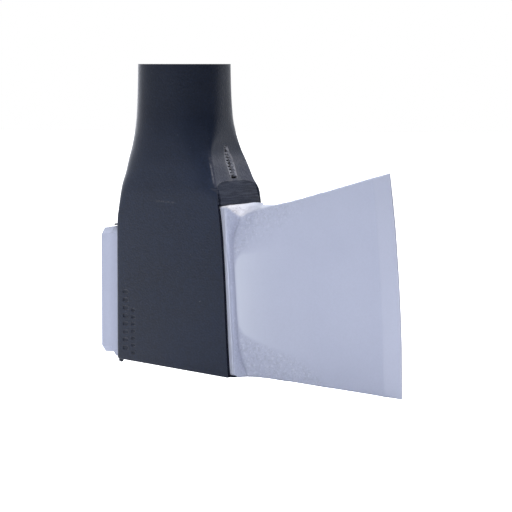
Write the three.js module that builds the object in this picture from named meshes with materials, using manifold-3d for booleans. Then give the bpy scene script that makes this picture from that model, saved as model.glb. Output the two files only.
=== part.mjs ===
// A small hatchet: a forged steel head with a hollow plastic handle moulded round its waist.
// Millimetres. +Z runs up the handle, +X points to the cutting edge (front), Y is the thickness.
// The origin is on the handle's axis, on the end face of the head.
import * as THREE from "three";
import { ParametricGeometry } from "three/addons/geometries/ParametricGeometry.js";
import { mergeVertices } from "three/addons/utils/BufferGeometryUtils.js";
import Module from "manifold-3d";

// ---- driving dimensions --------------------------------------------------
// HALF is a half thickness along Y. X pairs are [back, front], Z pairs are [bottom, top].
const GAP = 0.3; // clearance between neighbouring pieces
const STEP = 0.02; // length over which a loft jumps from one section to another
const END_SLOPE = -0.0975; // the end face falls towards the cutting edge
const END_Z = -0.36; // end face on the handle's axis; the whole assembly is raised by as much

// steel head
const POLL_X = -24.2; // hammer face
const POLL_HALF = 12.9;
const POLL_Z = [3.0, 43.7];
const POLL_ROUND = 1.3; // rounding of the hammer face's rim
const COLLAR_X = [-19.6, -17.3];
const COLLAR_HALF = 13.3;
const COLLAR_Z = [1.7, 44.2];
const WAIST_HALF = 6.5;
const WAIST_TOP = 44;
const WAIST_RISE = 3.2; // waist's underside above the end face
const SHOULDER_X = 16.7;
const SHOULDER_HALF = 12.9;
const SHOULDER_TOP = 51.4;
const SHOULDER_RISE = 0.8; // shoulder's underside above the end face
const SHOULDER_RINGS_X = [20, 21.3]; // leaning sections of the shoulder, at its top
const ROOT_SKEW = 0.062; // the shoulder leans forward towards the end face
const ROOT_HALF = 10.6; // blade's root, at mid height
const WALL_FROM = 21.55; // where the flat shoulder ends
const WALL_REACH = 1.35; // length over which the steep wall drops to the blade's root
const BEVEL_HALF = 1.85; // where the final bevel starts
const BEVEL_START = 0.89; // fraction of the blade's length
const EDGE_HALF = 0.08;
const LOCK_R = 4.5; // lock holes through the waist
const LOCK_X = -1;
const LOCK_Z = [15, 33];
const LOCK_SEGMENTS = 28;

// plastic handle
const PANEL_BACK = -17;
const BLOCK_HALF = 13.5;
const BLOCK_INSET = 0.35; // block's sides, inside the space cut for it
const BLOCK_BACK = 12;
const BLOCK_CUT_FRONT = 26;
const BLOCK_Z = [51.7, 59.4];
const LIP_X = 26.4;
const LIP_HALF = 12.2;
const BACK_LIP_HALF = 12.4;
const FLOOR = 0.5; // end plate's thickness under the shoulder
const END_CHAMFER = 0.45;
const TILT_TOP = 48; // above this height the handle's sections are level
const WALL = 3.6;
const HOLLOW_Z = 62;
const HOLLOW_END_INSET = 3; // extra inset of the hollow's closed end
const BUTT_Z = 351.5;
const PLUG_TOP = 355;
const PLUG_DEPTH = 12;

// ---- helpers -------------------------------------------------------------
const wasm = await Module();
wasm.setup();

const clamp01 = (t) => Math.min(1, Math.max(0, t));
const smooth = (t) => {
  const c = clamp01(t);
  return c * c * (3 - 2 * c);
};
const endFace = (x) => END_SLOPE * x + END_Z;

// Monotone cubic through [x, y] pairs, held constant beyond both ends.
function table(points) {
  const last = points.length - 1;
  const slopes = [];
  for (let i = 0; i < last; i++) {
    slopes.push((points[i + 1][1] - points[i][1]) / (points[i + 1][0] - points[i][0]));
  }
  const tangents = [slopes[0]];
  for (let i = 1; i < last; i++) {
    const before = slopes[i - 1];
    const after = slopes[i];
    tangents.push(before * after <= 0 ? 0 : (2 * before * after) / (before + after));
  }
  tangents.push(slopes[last - 1]);
  return (x) => {
    if (x <= points[0][0]) return points[0][1];
    if (x >= points[last][0]) return points[last][1];
    let i = 0;
    while (x > points[i + 1][0]) i++;
    const [x0, y0] = points[i];
    const [x1, y1] = points[i + 1];
    const width = x1 - x0;
    const t = (x - x0) / width;
    return (
      y0 * (1 + 2 * t) * (1 - t) ** 2 +
      width * tangents[i] * t * (1 - t) ** 2 +
      y1 * t * t * (3 - 2 * t) +
      width * tangents[i + 1] * t * t * (t - 1)
    );
  };
}

// A closed solid from a geometry: position only, shared vertices merged, faces out.
function solid(geometry) {
  const bare = new THREE.BufferGeometry();
  bare.setAttribute("position", geometry.attributes.position);
  bare.setIndex(geometry.index);
  const merged = mergeVertices(bare, 1e-4);
  const index = merged.index.array;
  const triangles = [];
  for (let i = 0; i < index.length; i += 3) {
    const [a, b, c] = index.slice(i, i + 3);
    if (a !== b && b !== c && a !== c) triangles.push([a, b, c]);
  }
  const build = (faces) =>
    new wasm.Manifold(
      new wasm.Mesh({
        numProp: 3,
        vertProperties: merged.attributes.position.array,
        triVerts: new Uint32Array(faces.flat()),
      }),
    );
  const built = build(triangles);
  return built.volume() > 0 ? built : build(triangles.map(([a, b, c]) => [b, a, c]));
}

function geometryOf(shape) {
  const mesh = shape.getMesh();
  const geometry = new THREE.BufferGeometry();
  geometry.setAttribute("position", new THREE.Float32BufferAttribute(mesh.vertProperties, 3));
  geometry.setIndex(new THREE.Uint32BufferAttribute(mesh.triVerts, 1));
  geometry.computeVertexNormals();
  return geometry;
}

// A solid skinned over a list of rings (equal point counts), closed by a fan at each end.
function loft(rings) {
  const fan = (ring) => {
    const centre = new THREE.Vector3();
    for (const point of ring) centre.add(point);
    centre.multiplyScalar(1 / ring.length);
    return ring.map(() => centre);
  };
  const rows = [fan(rings[0]), ...rings, fan(rings.at(-1))];
  const around = rings[0].length;
  const along = rows.length - 1;
  const pointAt = (u, v, target) =>
    target.copy(rows[Math.round(v * along)][Math.round(u * around) % around]);
  return solid(new ParametricGeometry(pointAt, around, along));
}

// A prism over a polygon of [x, z] points, centred on Y = 0.
function prismXZ(points, half) {
  const shape = new THREE.Shape(points.map(([x, z]) => new THREE.Vector2(x, z)));
  return solid(
    new THREE.ExtrudeGeometry(shape, { depth: 2 * half, bevelEnabled: false })
      .rotateX(Math.PI / 2)
      .translate(0, half, 0),
  );
}

// A prism with a flat top and an underside parallel to the end face, raised above it.
function slab([back, front], rise, top, half) {
  return prismXZ(
    [
      [back, endFace(back) + rise],
      [front, endFace(front) + rise],
      [front, top],
      [back, top],
    ],
    half,
  );
}

// A cylinder along Y at a lock hole's place.
function lockCylinder(radius, length, z) {
  const cylinder = new THREE.CylinderGeometry(radius, radius, length, LOCK_SEGMENTS);
  return solid(cylinder.translate(LOCK_X, 0, z));
}

// ---- steel head ----------------------------------------------------------
// [z, x] of the cutting edge
const edgeX = table([
  [-7.7, 77.7], [7.6, 77.55], [17, 77.2], [26.3, 76.7],
  [35.5, 76.05], [44.8, 75.3], [54, 74.3], [62.3, 73.25],
]);
// [x, z] of the steel's top corner
const topEdge = table([
  [16.7, SHOULDER_TOP], [20.5, SHOULDER_TOP], [22.2, 51.3], [22.9, 50.95], [23.6, 49.6],
  [24.3, 48.5], [25, 48.15], [28, 49.6], [32.3, 50.95], [35, 51.7],
  [37.2, 52.1], [45, 54.15], [58.7, 58.05], [66.4, 60.35], [73.3, 62.3],
]);
// [x, height of the crown on the centre line above the top corner]
const topCrown = table([
  [16.7, 0.05], [21.5, 0.3], [22.9, 0.7], [23.6, 1.9], [24.3, 2.9], [25, 3.2],
  [28, 2.05], [31, 0.95], [32.6, 0.25], [36, 0.15], [73, 0],
]);
// [x, height of the underside above the end face]
const underRise = table([
  [16.7, SHOULDER_RISE], [26.6, SHOULDER_RISE], [27.4, 0.3], [31, 0.45], [55, 0.45], [78, 0.1],
]);
// [z, half thickness at the valley between shoulder and blade]
const foot = table([
  [-6, 8.0], [-4, 8.2], [0, 8.6], [3, 9.2], [7, 9.9], [13, 10.4], [20, ROOT_HALF],
  [34, ROOT_HALF], [39, 10.1], [42, 9.5], [44, 9.0], [46, 8.4], [50, 8.2], [52, 8.2],
]);
// [z, how far the valley opens forward]: it stands closest to the shoulder at mid height
const spread = table([
  [-6, 2.3], [-4, 1.95], [0, 1.05], [2, 0.45], [5, 0.12], [8, 0], [39, 0],
  [42, 0.2], [44, 0.8], [46, 1.6], [50, 2.2], [52, 2.3],
]);
// [fraction from root to edge, half thickness of the ground cheek]
const cheek = table([
  [0, ROOT_HALF], [0.025, 9.95], [0.05, 9.35], [0.1, 8.35], [0.15, 7.5], [0.25, 6.35],
  [0.4, 5.0], [0.6, 3.7], [BEVEL_START, BEVEL_HALF],
]);
// Ring places: fractions of the wall's reach, then of the blade's length
const WALL_RINGS = [0.05, 0.3, 0.45, 0.6, 0.78, 0.92];
const BLADE_RINGS = [
  0.02, 0.06, 0.1, 0.15, 0.22, 0.3, 0.4, 0.52, 0.64, 0.77, BEVEL_START, 1,
];
const WALL_DROP = { start: 0.16, length: 0.68 }; // fractions of the wall's reach
const CORNER_FADE = { start: 0.02, length: 0.4 }; // fractions of the blade's length

const SIDE_POINTS = 16;
const CAP_POINTS = 5;
const SETTLE_PASSES = 5;
// Starting heights [bottom, top] for settling a ring
const RING_START = [0, 50];
const ROOT_START = [-2, 52];
const BLADE_START = [-7.7, 62.3];

// One ring of the steel: the two sides run up and down, the top and underside run across.
// xAt and half depend on height; low, high and crown on x. Each point is therefore
// settled in a fixed number of passes; startZ gives the heights for its first x.
function steelRing({
  xAt, half, low, high, crown = () => 0, corner = 0.7, startZ = RING_START,
}) {
  const ring = [];
  const between = ([bottom, top], v) => bottom + (top - bottom) * v;
  const rounding = (thickness) => Math.min(corner, thickness * 0.45);
  const addSettled = (v, place) => {
    let x = xAt(between(startZ, v));
    let y = 0;
    let z = between(RING_START, v);
    for (let pass = 0; pass < SETTLE_PASSES; pass++) {
      [y, z] = place(x, z);
      x = xAt(z);
    }
    ring.push(new THREE.Vector3(x, y, z));
  };
  const side = (sign, up) => {
    for (let i = 0; i < SIDE_POINTS; i++) {
      const f = i / (SIDE_POINTS - 1);
      const v = up ? f : 1 - f;
      addSettled(v, (x, z) => {
        const inset = rounding(half(z));
        const newZ = between([low(x) + inset, high(x) - inset], v);
        return [sign * half(newZ), newZ];
      });
    }
  };
  const across = (sign, top) => {
    for (let i = 0; i < CAP_POINTS; i++) {
      const s = sign * (1 - (2 * i) / (CAP_POINTS - 1));
      addSettled(top ? 1 : 0, (x, z) => {
        const h = half(z);
        const y = s * (h - rounding(h));
        return [y, top ? high(x) + crown(x) * (1 - (y / h) ** 2) : low(x)];
      });
    }
  };
  side(-1, true);
  across(-1, true);
  side(1, false);
  across(1, false);
  return ring;
}

function pollAndCollarRings() {
  const flatRing = (x, half, [bottom, top], corner) =>
    steelRing({ xAt: () => x, half: () => half, low: () => bottom, high: () => top, corner });
  const pollRing = (x, inset, corner) =>
    flatRing(x, POLL_HALF - inset, [POLL_Z[0] + inset, POLL_Z[1] - inset], corner);
  return [
    pollRing(POLL_X, POLL_ROUND, 1.4),
    pollRing(POLL_X + 0.35, POLL_ROUND * 0.45, 1.6),
    pollRing(POLL_X + POLL_ROUND, 0, 1.8),
    pollRing(COLLAR_X[0] - 0.25, 0, 1.8),
    ...COLLAR_X.map((x) => flatRing(x, COLLAR_HALF, COLLAR_Z, 1.6)),
  ];
}

function waistRings() {
  return [COLLAR_X[1] + STEP, LOCK_X, SHOULDER_X - STEP].map((x) =>
    steelRing({
      xAt: () => x,
      half: () => WAIST_HALF,
      low: (q) => endFace(q) + WAIST_RISE,
      high: () => WAIST_TOP,
    }),
  );
}

// The shoulder, the wall that drops from it, and the blade out to the cutting edge.
function shoulderAndBladeRings() {
  const forgedRing = (xAt, half, startZ) =>
    steelRing({
      xAt,
      half,
      low: (x) => endFace(x) + underRise(x),
      high: topEdge,
      crown: topCrown,
      startZ,
    });
  const lean = (z) => ROOT_SKEW * (SHOULDER_TOP - z);
  const wallX = (z, w) => WALL_FROM + w * (WALL_REACH + spread(z)) + lean(z);
  const shoulderHalf = () => SHOULDER_HALF;

  const wallRing = (w) => {
    const drop = smooth((w - WALL_DROP.start) / WALL_DROP.length);
    const half = (z) => SHOULDER_HALF - (SHOULDER_HALF - foot(z)) * drop;
    return forgedRing((z) => wallX(z, w), half, ROOT_START);
  };
  // Above and below the ground cheek the forging falls away towards the root's corners.
  const bladeRing = (t) => {
    const fall = 1 - smooth((t - CORNER_FADE.start) / CORNER_FADE.length);
    const xAt = (z) => {
      const rootX = wallX(z, 1);
      return rootX + (edgeX(z) - rootX) * t;
    };
    const half = (z) =>
      t > BEVEL_START ? EDGE_HALF : cheek(t) - (ROOT_HALF - foot(z)) * fall;
    return forgedRing(xAt, half, BLADE_START);
  };
  return [
    forgedRing(() => SHOULDER_X, shoulderHalf, ROOT_START),
    ...SHOULDER_RINGS_X.map((x) => forgedRing((z) => x + lean(z), shoulderHalf, ROOT_START)),
    ...WALL_RINGS.map(wallRing),
    ...BLADE_RINGS.map(bladeRing),
  ];
}

function steelHead() {
  let head = loft([...pollAndCollarRings(), ...waistRings(), ...shoulderAndBladeRings()]);
  for (const z of LOCK_Z) head = head.subtract(lockCylinder(LOCK_R, 20, z));
  return head;
}

// ---- plastic handle ------------------------------------------------------
// [z, reach forward of the axis]
const frontReach = table([
  [0, 24.15], [11, 23.45], [26, 22.65], [41.5, 21.65], [51, 20.6], [54, 20.25],
  [56.6, 19.9], [57.7, 19.55], [58.8, 18.95], [60.4, 18.4], [62.9, 17.6],
  [66, 16.55], [69, 15.6], [71.5, 15.3], [75, 15.33], [81, 15.45], [96, 15.5],
  [112, 15.3], [130, 14.7], [170, 12.9], [210, 12.6], [250, 14.2], [285, 16.4],
  [310, 19.6], [330, 24.6], [343, 28.2], [BUTT_Z, 28.6],
]);
// [z, reach behind the axis]
const backReach = table([
  [0, -PANEL_BACK], [44, -PANEL_BACK], [47, 16.9], [50.6, 16.65], [54, 16.64], [57, 16.63],
  [62, 16.25], [67, 15.69], [72, 15.04], [80, 14.44], [96, 14.13], [112, 14.17],
  [130, 14.49], [170, 16], [210, 17], [250, 17.1], [285, 14.6], [310, 12.4], [330, 12],
  [343, 12], [BUTT_Z, 11.6],
]);
// [z, half thickness]
const handleHalf = table([
  [0, 14.6], [55, 14.6], [59, 14.4], [63, 14.1], [66, 13.85], [69, 13.5],
  [72.6, 13.2], [75.2, 12.9], [80.4, 12.5], [86, 12.3], [96, 12.2], [130, 11.8],
  [170, 11.4], [210, 11.8], [250, 12.5], [285, 12.3], [310, 12.4], [330, 13.0],
  [343, 13.4], [BUTT_Z, 13.2],
]);
// [z, squareness of the corners]: 2 is an ellipse, 30 nearly a rectangle
const frontSquareness = table([
  [0, 44], [52, 44], [55, 28], [57.6, 19], [60.4, 15.5], [62.9, 12.5], [66, 9.5],
  [69, 7.0], [72.6, 5.3], [75.2, 3.9], [77.8, 3.1], [80.4, 2.8], [85.6, 2.4],
  [96, 2.3], [351, 2.3],
]);
const backSquareness = table([
  [0, 44], [47, 40], [50, 26], [53, 15], [57, 9], [62, 5.3], [65, 4.6], [67.5, 4.1],
  [70, 3.7], [72.6, 3.45], [75, 3.25], [80, 3.05], [96, 2.9], [112, 2.8], [130, 2.6],
  [170, 2.25], [351, 2.2],
]);
// Heights of the outer rings and of the hollow's rings
const OUTER_Z = [
  END_CHAMFER, 12, 26, 40, 50, 54, 56.6, 57.7, 58.8, 60.4, 63, 65.5, 68, 70, 72, 75, 78,
  82, 88, 96, 112, 130, 150, 170, 190, 210, 230, 250, 268, 285, 298, 310, 320, 330, 337,
  343, 348, BUTT_Z,
];
const HOLLOW_RINGS_Z = [
  HOLLOW_Z, 66, 72, 80, 96, 130, 170, 210, 250, 285, 310, 330, 343, BUTT_Z + 3,
];
// [x, z] down to up along the front block's face, which swells forward as it comes down
const BLOCK_FACE = [
  [20.85, BLOCK_Z[0]], [20.65, 53.2], [20.35, 54.5], [20.0, 55.8], [19.6, 57.1],
  [19.05, 58.4], [18.55, BLOCK_Z[1]],
];
const OUTER_COUNT = 20; // steps along half a ring
const HOLLOW_COUNT = 14;
const DENSE_STEPS = 900; // fine steps from which a half ring's points are picked
const TURN_WEIGHT = 9; // length that one radian of turning counts for

// Fine points along the +Y half of a section, from front to back.
function denseHalfSection(z, inset) {
  const half = handleHalf(z) - inset;
  const points = [];
  for (let i = 0; i <= DENSE_STEPS; i++) {
    const angle = (Math.PI * i) / DENSE_STEPS;
    const front = angle < Math.PI / 2;
    const reach = (front ? frontReach(z) : backReach(z)) - inset;
    const power = 2 / (front ? frontSquareness(z) : backSquareness(z));
    const c = Math.abs(Math.cos(angle)) ** power;
    const s = Math.abs(Math.sin(angle)) ** power;
    points.push(new THREE.Vector2(front ? reach * c : -reach * c, half * s));
  }
  return points;
}

// Points round a handle section, spread by length and by turning, so corners stay crisp.
function sectionXY(z, inset, count) {
  const dense = denseHalfSection(z, inset);
  const weight = [0];
  let lastAngle = null;
  for (let i = 1; i <= DENSE_STEPS; i++) {
    const step = dense[i].clone().sub(dense[i - 1]);
    const length = step.length();
    let turn = 0;
    if (length > 1e-6) {
      const angle = step.angle();
      if (lastAngle !== null) {
        const change = angle - lastAngle;
        turn = Math.abs(Math.atan2(Math.sin(change), Math.cos(change)));
      }
      lastAngle = angle;
    }
    weight.push(weight[i - 1] + length + TURN_WEIGHT * turn);
  }
  const halfRing = [];
  let k = 1;
  for (let i = 0; i <= count; i++) {
    const wanted = (weight[DENSE_STEPS] * i) / count;
    while (k < DENSE_STEPS && weight[k] < wanted) k++;
    const f = (wanted - weight[k - 1]) / Math.max(1e-9, weight[k] - weight[k - 1]);
    halfRing.push(dense[k - 1].clone().lerp(dense[k], clamp01(f)));
  }
  halfRing[0].y = 0;
  halfRing[count].y = 0;
  const mirrored = halfRing.slice(1, count).reverse();
  return [...halfRing, ...mirrored.map((p) => new THREE.Vector2(p.x, -p.y))];
}

// A section at height z, tilted to follow the end face near the bottom.
function handleRing(z, inset = 0, count = OUTER_COUNT) {
  const tilt = 1 - smooth(z / TILT_TOP);
  return sectionXY(z, inset, count).map(
    (p) => new THREE.Vector3(p.x, p.y, z + tilt * endFace(p.x)),
  );
}

// The hollow, open at the butt.
function hollow() {
  return loft(
    HOLLOW_RINGS_Z.map((z) =>
      handleRing(z, z === HOLLOW_Z ? WALL + HOLLOW_END_INSET : WALL, HOLLOW_COUNT),
    ),
  );
}

// Lip of the end plate under the shoulder.
function endLip() {
  const back = SHOULDER_X - 1;
  const tipZ = endFace(LIP_X);
  return prismXZ(
    [
      [back, endFace(back)],
      [LIP_X - 0.2, tipZ],
      [LIP_X, tipZ + 0.2],
      [LIP_X - 0.1, tipZ + FLOOR],
      [back, endFace(back) + FLOOR],
    ],
    LIP_HALF,
  );
}

// Back lip over the collar.
function backLip() {
  const front = PANEL_BACK + 1;
  const bottom = COLLAR_Z[1] + GAP;
  return prismXZ(
    [[front, bottom], [-19.1, bottom], [-19.0, bottom + 0.4], [front, bottom + 0.6]],
    BACK_LIP_HALF,
  );
}

// Boat-shaped recess on the ramp above the block, its pointed end upwards.
function boatRecess() {
  const tipX = -5.6;
  const bendX = -3.2;
  const wideX = 0.5;
  const sternX = 5.1;
  const wideHalf = 1.75;
  const sternHalf = 1.35;
  const depth = 0.75; // below the centre point on the ramp
  const centre = [16.9, 0, 65.0];
  const outward = { x: 0.948, z: 0.318 }; // direction square to the ramp
  const boat = new THREE.Shape();
  boat.moveTo(tipX, 0);
  boat.quadraticCurveTo(bendX, wideHalf, wideX, wideHalf);
  boat.lineTo(sternX, sternHalf);
  boat.lineTo(sternX, -sternHalf);
  boat.lineTo(wideX, -wideHalf);
  boat.quadraticCurveTo(bendX, -wideHalf, tipX, 0);
  return solid(
    new THREE.ExtrudeGeometry(boat, { depth: 4, bevelEnabled: false, curveSegments: 6 })
      .translate(0, 0, -depth)
      .rotateY(Math.atan2(outward.x, outward.z))
      .translate(...centre),
  );
}

function handleShell() {
  const shoulderRoom = slab(
    [SHOULDER_X - GAP, 40], FLOOR, BLOCK_Z[0], SHOULDER_HALF + GAP,
  );
  const waistRoom = slab(
    [PANEL_BACK - 2, SHOULDER_X + 2], WAIST_RISE - GAP, WAIST_TOP + GAP, WAIST_HALF + GAP,
  );
  let shell = loft([handleRing(0, END_CHAMFER), ...OUTER_Z.map((z) => handleRing(z))])
    .subtract(hollow())
    .subtract(shoulderRoom) // leaves the side panels lapping over the shoulder
    .subtract(waistRoom);
  // studs through the waist's lock holes
  for (const z of LOCK_Z) {
    shell = shell.add(lockCylinder(LOCK_R - GAP, 2 * WAIST_HALF + 4, z));
  }
  // front block under the ramp: clear the space before its face, then fill behind it
  const blockCut = prismXZ(
    [...BLOCK_FACE, [BLOCK_CUT_FRONT, BLOCK_Z[1]], [BLOCK_CUT_FRONT, BLOCK_Z[0]]],
    BLOCK_HALF,
  );
  const block = prismXZ(
    [[BLOCK_BACK, BLOCK_Z[0]], ...BLOCK_FACE, [BLOCK_BACK, BLOCK_Z[1]]],
    BLOCK_HALF - BLOCK_INSET,
  );
  return shell
    .subtract(blockCut)
    .add(block)
    .add(endLip())
    .add(backLip())
    .subtract(boatRecess());
}

// ---- butt plug -----------------------------------------------------------
function buttPlug() {
  const spigot = WALL + GAP; // inset of the part inside the hollow
  const bottom = BUTT_Z - PLUG_DEPTH;
  const base = BUTT_Z + GAP; // underside of the cap
  return loft([
    handleRing(bottom, spigot + 0.8),
    handleRing(bottom + 1.5, spigot),
    handleRing(base - STEP, spigot),
    handleRing(base, 0.05),
    handleRing(base + 1.2, 0.1),
    handleRing(PLUG_TOP - 0.9, 0.9),
    handleRing(PLUG_TOP, 2.4),
  ]);
}

// ---- the assembly --------------------------------------------------------
const STEEL = { color: 0xb4b9cd, roughness: 0.62, metalness: 0.35 };
const HANDLE_PLASTIC = { color: 0x2b3040, roughness: 0.6, metalness: 0 };
const PLUG_PLASTIC = { color: 0x23262f, roughness: 0.55, metalness: 0 };

const group = new THREE.Group();
group.position.z = -END_Z;

function addPiece(name, shape, finish) {
  const mesh = new THREE.Mesh(geometryOf(shape), new THREE.MeshStandardMaterial(finish));
  mesh.name = name;
  group.add(mesh);
}
addPiece("head", steelHead(), STEEL);
addPiece("handle_shell", handleShell(), HANDLE_PLASTIC);
addPiece("butt_plug", buttPlug(), PLUG_PLASTIC);

export default group;
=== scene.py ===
# A hatchet: a forged steel head held in a hollow moulded plastic handle, with a plug in the butt.
# It stands head down. The handle runs up +Z, the cutting edge faces +X, the poll faces -X, and Y is
# the thickness, centred on 0. "Front" is +X and "back" is -X. Geometry is worked out in millimetres;
# shaders, lights and camera use metres.
import math

import bpy
import numpy as np
from mathutils import Matrix, Vector


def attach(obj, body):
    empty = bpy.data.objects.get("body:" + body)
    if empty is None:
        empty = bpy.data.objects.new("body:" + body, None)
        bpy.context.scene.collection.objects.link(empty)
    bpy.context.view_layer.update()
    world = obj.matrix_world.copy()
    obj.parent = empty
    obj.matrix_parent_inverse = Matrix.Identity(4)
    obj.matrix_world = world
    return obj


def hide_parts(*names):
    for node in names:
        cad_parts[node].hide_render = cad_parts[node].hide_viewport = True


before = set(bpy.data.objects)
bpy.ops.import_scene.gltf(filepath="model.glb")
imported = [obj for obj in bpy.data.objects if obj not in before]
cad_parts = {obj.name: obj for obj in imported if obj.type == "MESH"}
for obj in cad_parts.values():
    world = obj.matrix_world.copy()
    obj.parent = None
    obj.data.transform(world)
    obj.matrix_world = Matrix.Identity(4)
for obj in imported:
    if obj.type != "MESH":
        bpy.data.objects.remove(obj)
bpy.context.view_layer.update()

MM = 0.001

# ---------------------------------------------------------------- driving dimensions (mm)
# Sloping end face under the head: z = END_SLOPE * x + END_Z; LIFT brings it to z = 0 at x = 0
END_SLOPE = -0.0975
END_Z = -0.36
LIFT = -END_Z

# Head; pairs are (low, high), halves are half thicknesses along Y
POLL_X = -24.2
POLL_HALF = 12.9
POLL_Z = (3.0, 43.6)
POLL_ROUND = 1.0
COLLAR_X = (-19.6, -17.3)
COLLAR_HALF = 13.3
COLLAR_Z = (1.7, 44.2)
WAIST_HALF = 6.5
WAIST_TOP = 44.0
WAIST_RISE = 3.2
SHOULDER_X = 16.7
SHOULDER_HALF = 12.9
SHOULDER_TOP = 51.4
ROOT_SKEW = 0.062
BEVEL_HALF = 1.85
BEVEL_START = 0.89  # share of the way from the blade's root to its edge
EDGE_HALF = 0.07
LOCK_R = 4.5
LOCK_X = -1.0
LOCK_Z = (15.0, 33.0)

# Handle
PANEL_BACK = -17.0
PANEL_HALF = 14.6
BLOCK_HALF = 13.4
BLOCK_BOTTOM = 51.7
LIP_X = 25.3
LIP_HALF = 12.2
LIP_ROUND = 0.28
FLOOR = 0.5
GAP = 0.3
WALL = 3.6
HOLLOW_Z = 62.0
BUTT_Z = 351.5
PLUG_TOP = 355.0
PLUG_DEPTH = 12.0

# Boat-shaped recess on the ramp, the slope where the handle's front narrows into the neck
RAMP_RUN = 0.318  # +X travel for each RAMP_DROP of -Z travel
RAMP_DROP = 0.948
RECESS_X = 16.95
RECESS_Z = 64.95
RECESS_START = -5.6  # along the ramp, from the recess centre
RECESS_LENGTH = 11.0
RECESS_HALF = 2.45
RECESS_END_SHARE = 0.3  # width at the upper end, as a share of the full width
RECESS_TAPER = 0.2  # narrowing over the last part
NOTCH_AT = 5.0


# ---------------------------------------------------------------- number helpers
def table(points):
    """Monotone cubic through (input, output) pairs, for numbers and arrays."""
    knots, values = np.array(points, float).T
    gaps = np.diff(knots)
    slopes = np.diff(values) / gaps
    tangents = np.zeros(len(knots))
    tangents[0], tangents[-1] = slopes[0], slopes[-1]
    for i in range(1, len(knots) - 1):
        before, after = slopes[i - 1], slopes[i]
        if before * after > 0:
            tangents[i] = 2 * before * after / (before + after)

    def look_up(at):
        at = np.clip(np.asarray(at, float), knots[0], knots[-1])
        i = np.clip(np.searchsorted(knots, at, side="right") - 1, 0, len(gaps) - 1)
        t = (at - knots[i]) / gaps[i]
        return (
            values[i] * (1 + 2 * t) * (1 - t) ** 2
            + gaps[i] * tangents[i] * t * (1 - t) ** 2
            + values[i + 1] * t * t * (3 - 2 * t)
            + gaps[i] * tangents[i + 1] * t * t * (t - 1)
        )

    return look_up


def flat(value):
    """A function that gives the same value everywhere, in the shape of its first argument."""
    return lambda at, *rest: np.full(np.shape(at), float(value))


def smooth(t):
    t = np.clip(t, 0, 1)
    return t * t * (3 - 2 * t)


def rise(value, start, width):
    """0 up to start, then eases to 1 over width."""
    return smooth((value - start) / width)


def fall(value, end, width):
    """Eases from 1 to 0 over width, and is 0 from end on."""
    return smooth((end - value) / width)


def bell(offset, width):
    return np.exp(-((offset / width) ** 2))


def smooth_min(first, second, blend):
    h = np.clip(0.5 + 0.5 * (second - first) / blend, 0, 1)
    return second + (first - second) * h - blend * h * (1 - h)


def angles(count):
    return np.linspace(0, 2 * math.pi, count + 1)[:-1]


def quarter_round(steps, radius):
    """(advance, inset) pairs round an outer edge, from the end face to the full size."""
    for angle in np.linspace(0, 1, steps) * math.pi / 2:
        yield radius * (1 - math.cos(angle)), radius * (1 - math.sin(angle))


def end_face(x):
    return END_SLOPE * x + END_Z


def hash_noise(points, seed):
    """Repeatable value noise on an (n, 3) array, about -1 to 1."""
    base = np.floor(points).astype(np.int64)
    part = points - base
    weight = part * part * (3 - 2 * part)
    total = np.zeros(len(points))
    for corner in np.ndindex(2, 2, 2):
        cell = base + np.array(corner)
        number = (cell[:, 0] * 73856093) ^ (cell[:, 1] * 19349663) ^ (cell[:, 2] * 83492791)
        number = number ^ (seed * 2654435761)
        number = (number ^ (number >> 13)) * 1274126177
        value = ((number ^ (number >> 16)) & 0xFFFF) / 32767.5 - 1.0
        share = np.where(corner, weight, 1 - weight)
        total += value * share[:, 0] * share[:, 1] * share[:, 2]
    return total


def fractal(points, size, seed):
    """Two octaves of noise."""
    points = points / size
    return (hash_noise(points, seed) + 0.5 * hash_noise(points * 2, seed + 1)) / 1.6


def signed_distance(x, z, outline):
    """Distance to a closed outline in the XZ plane, positive inside it."""
    nearest = np.full(x.shape, 1e9)
    inside = np.zeros(x.shape, bool)
    for start, end in zip(outline, np.roll(outline, -1, 0)):
        run, climb = end - start
        from_x, from_z = x - start[0], z - start[1]
        t = np.clip((from_x * run + from_z * climb) / (run * run + climb * climb), 0, 1)
        nearest = np.minimum(nearest, np.hypot(from_x - t * run, from_z - t * climb))
        crosses = (end[1] > z) != (start[1] > z)
        with np.errstate(divide="ignore", invalid="ignore"):
            inside ^= crosses & (x < run * from_z / climb + start[0])
    return np.where(inside, nearest, -nearest)


# ---------------------------------------------------------------- mesh helpers
def add_object(name, data):
    obj = bpy.data.objects.new(name, data)
    bpy.context.scene.collection.objects.link(obj)
    return obj


def mesh_object(name, points, faces):
    """A closed mesh over points in mm, with its faces turned outward."""
    mesh = bpy.data.meshes.new(name)
    mesh.from_pydata((points * MM).tolist(), [], faces)
    mesh.validate()
    mesh.update()
    mesh.calc_loop_triangles()
    corners = np.zeros(len(mesh.loop_triangles) * 3, np.int64)
    mesh.loop_triangles.foreach_get("vertices", corners)
    first, second, third = points[corners.reshape(-1, 3).T]
    if np.einsum("ij,ij->i", first, np.cross(second, third)).sum() < 0:
        mesh.flip_normals()
    return add_object(name, mesh)


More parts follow.
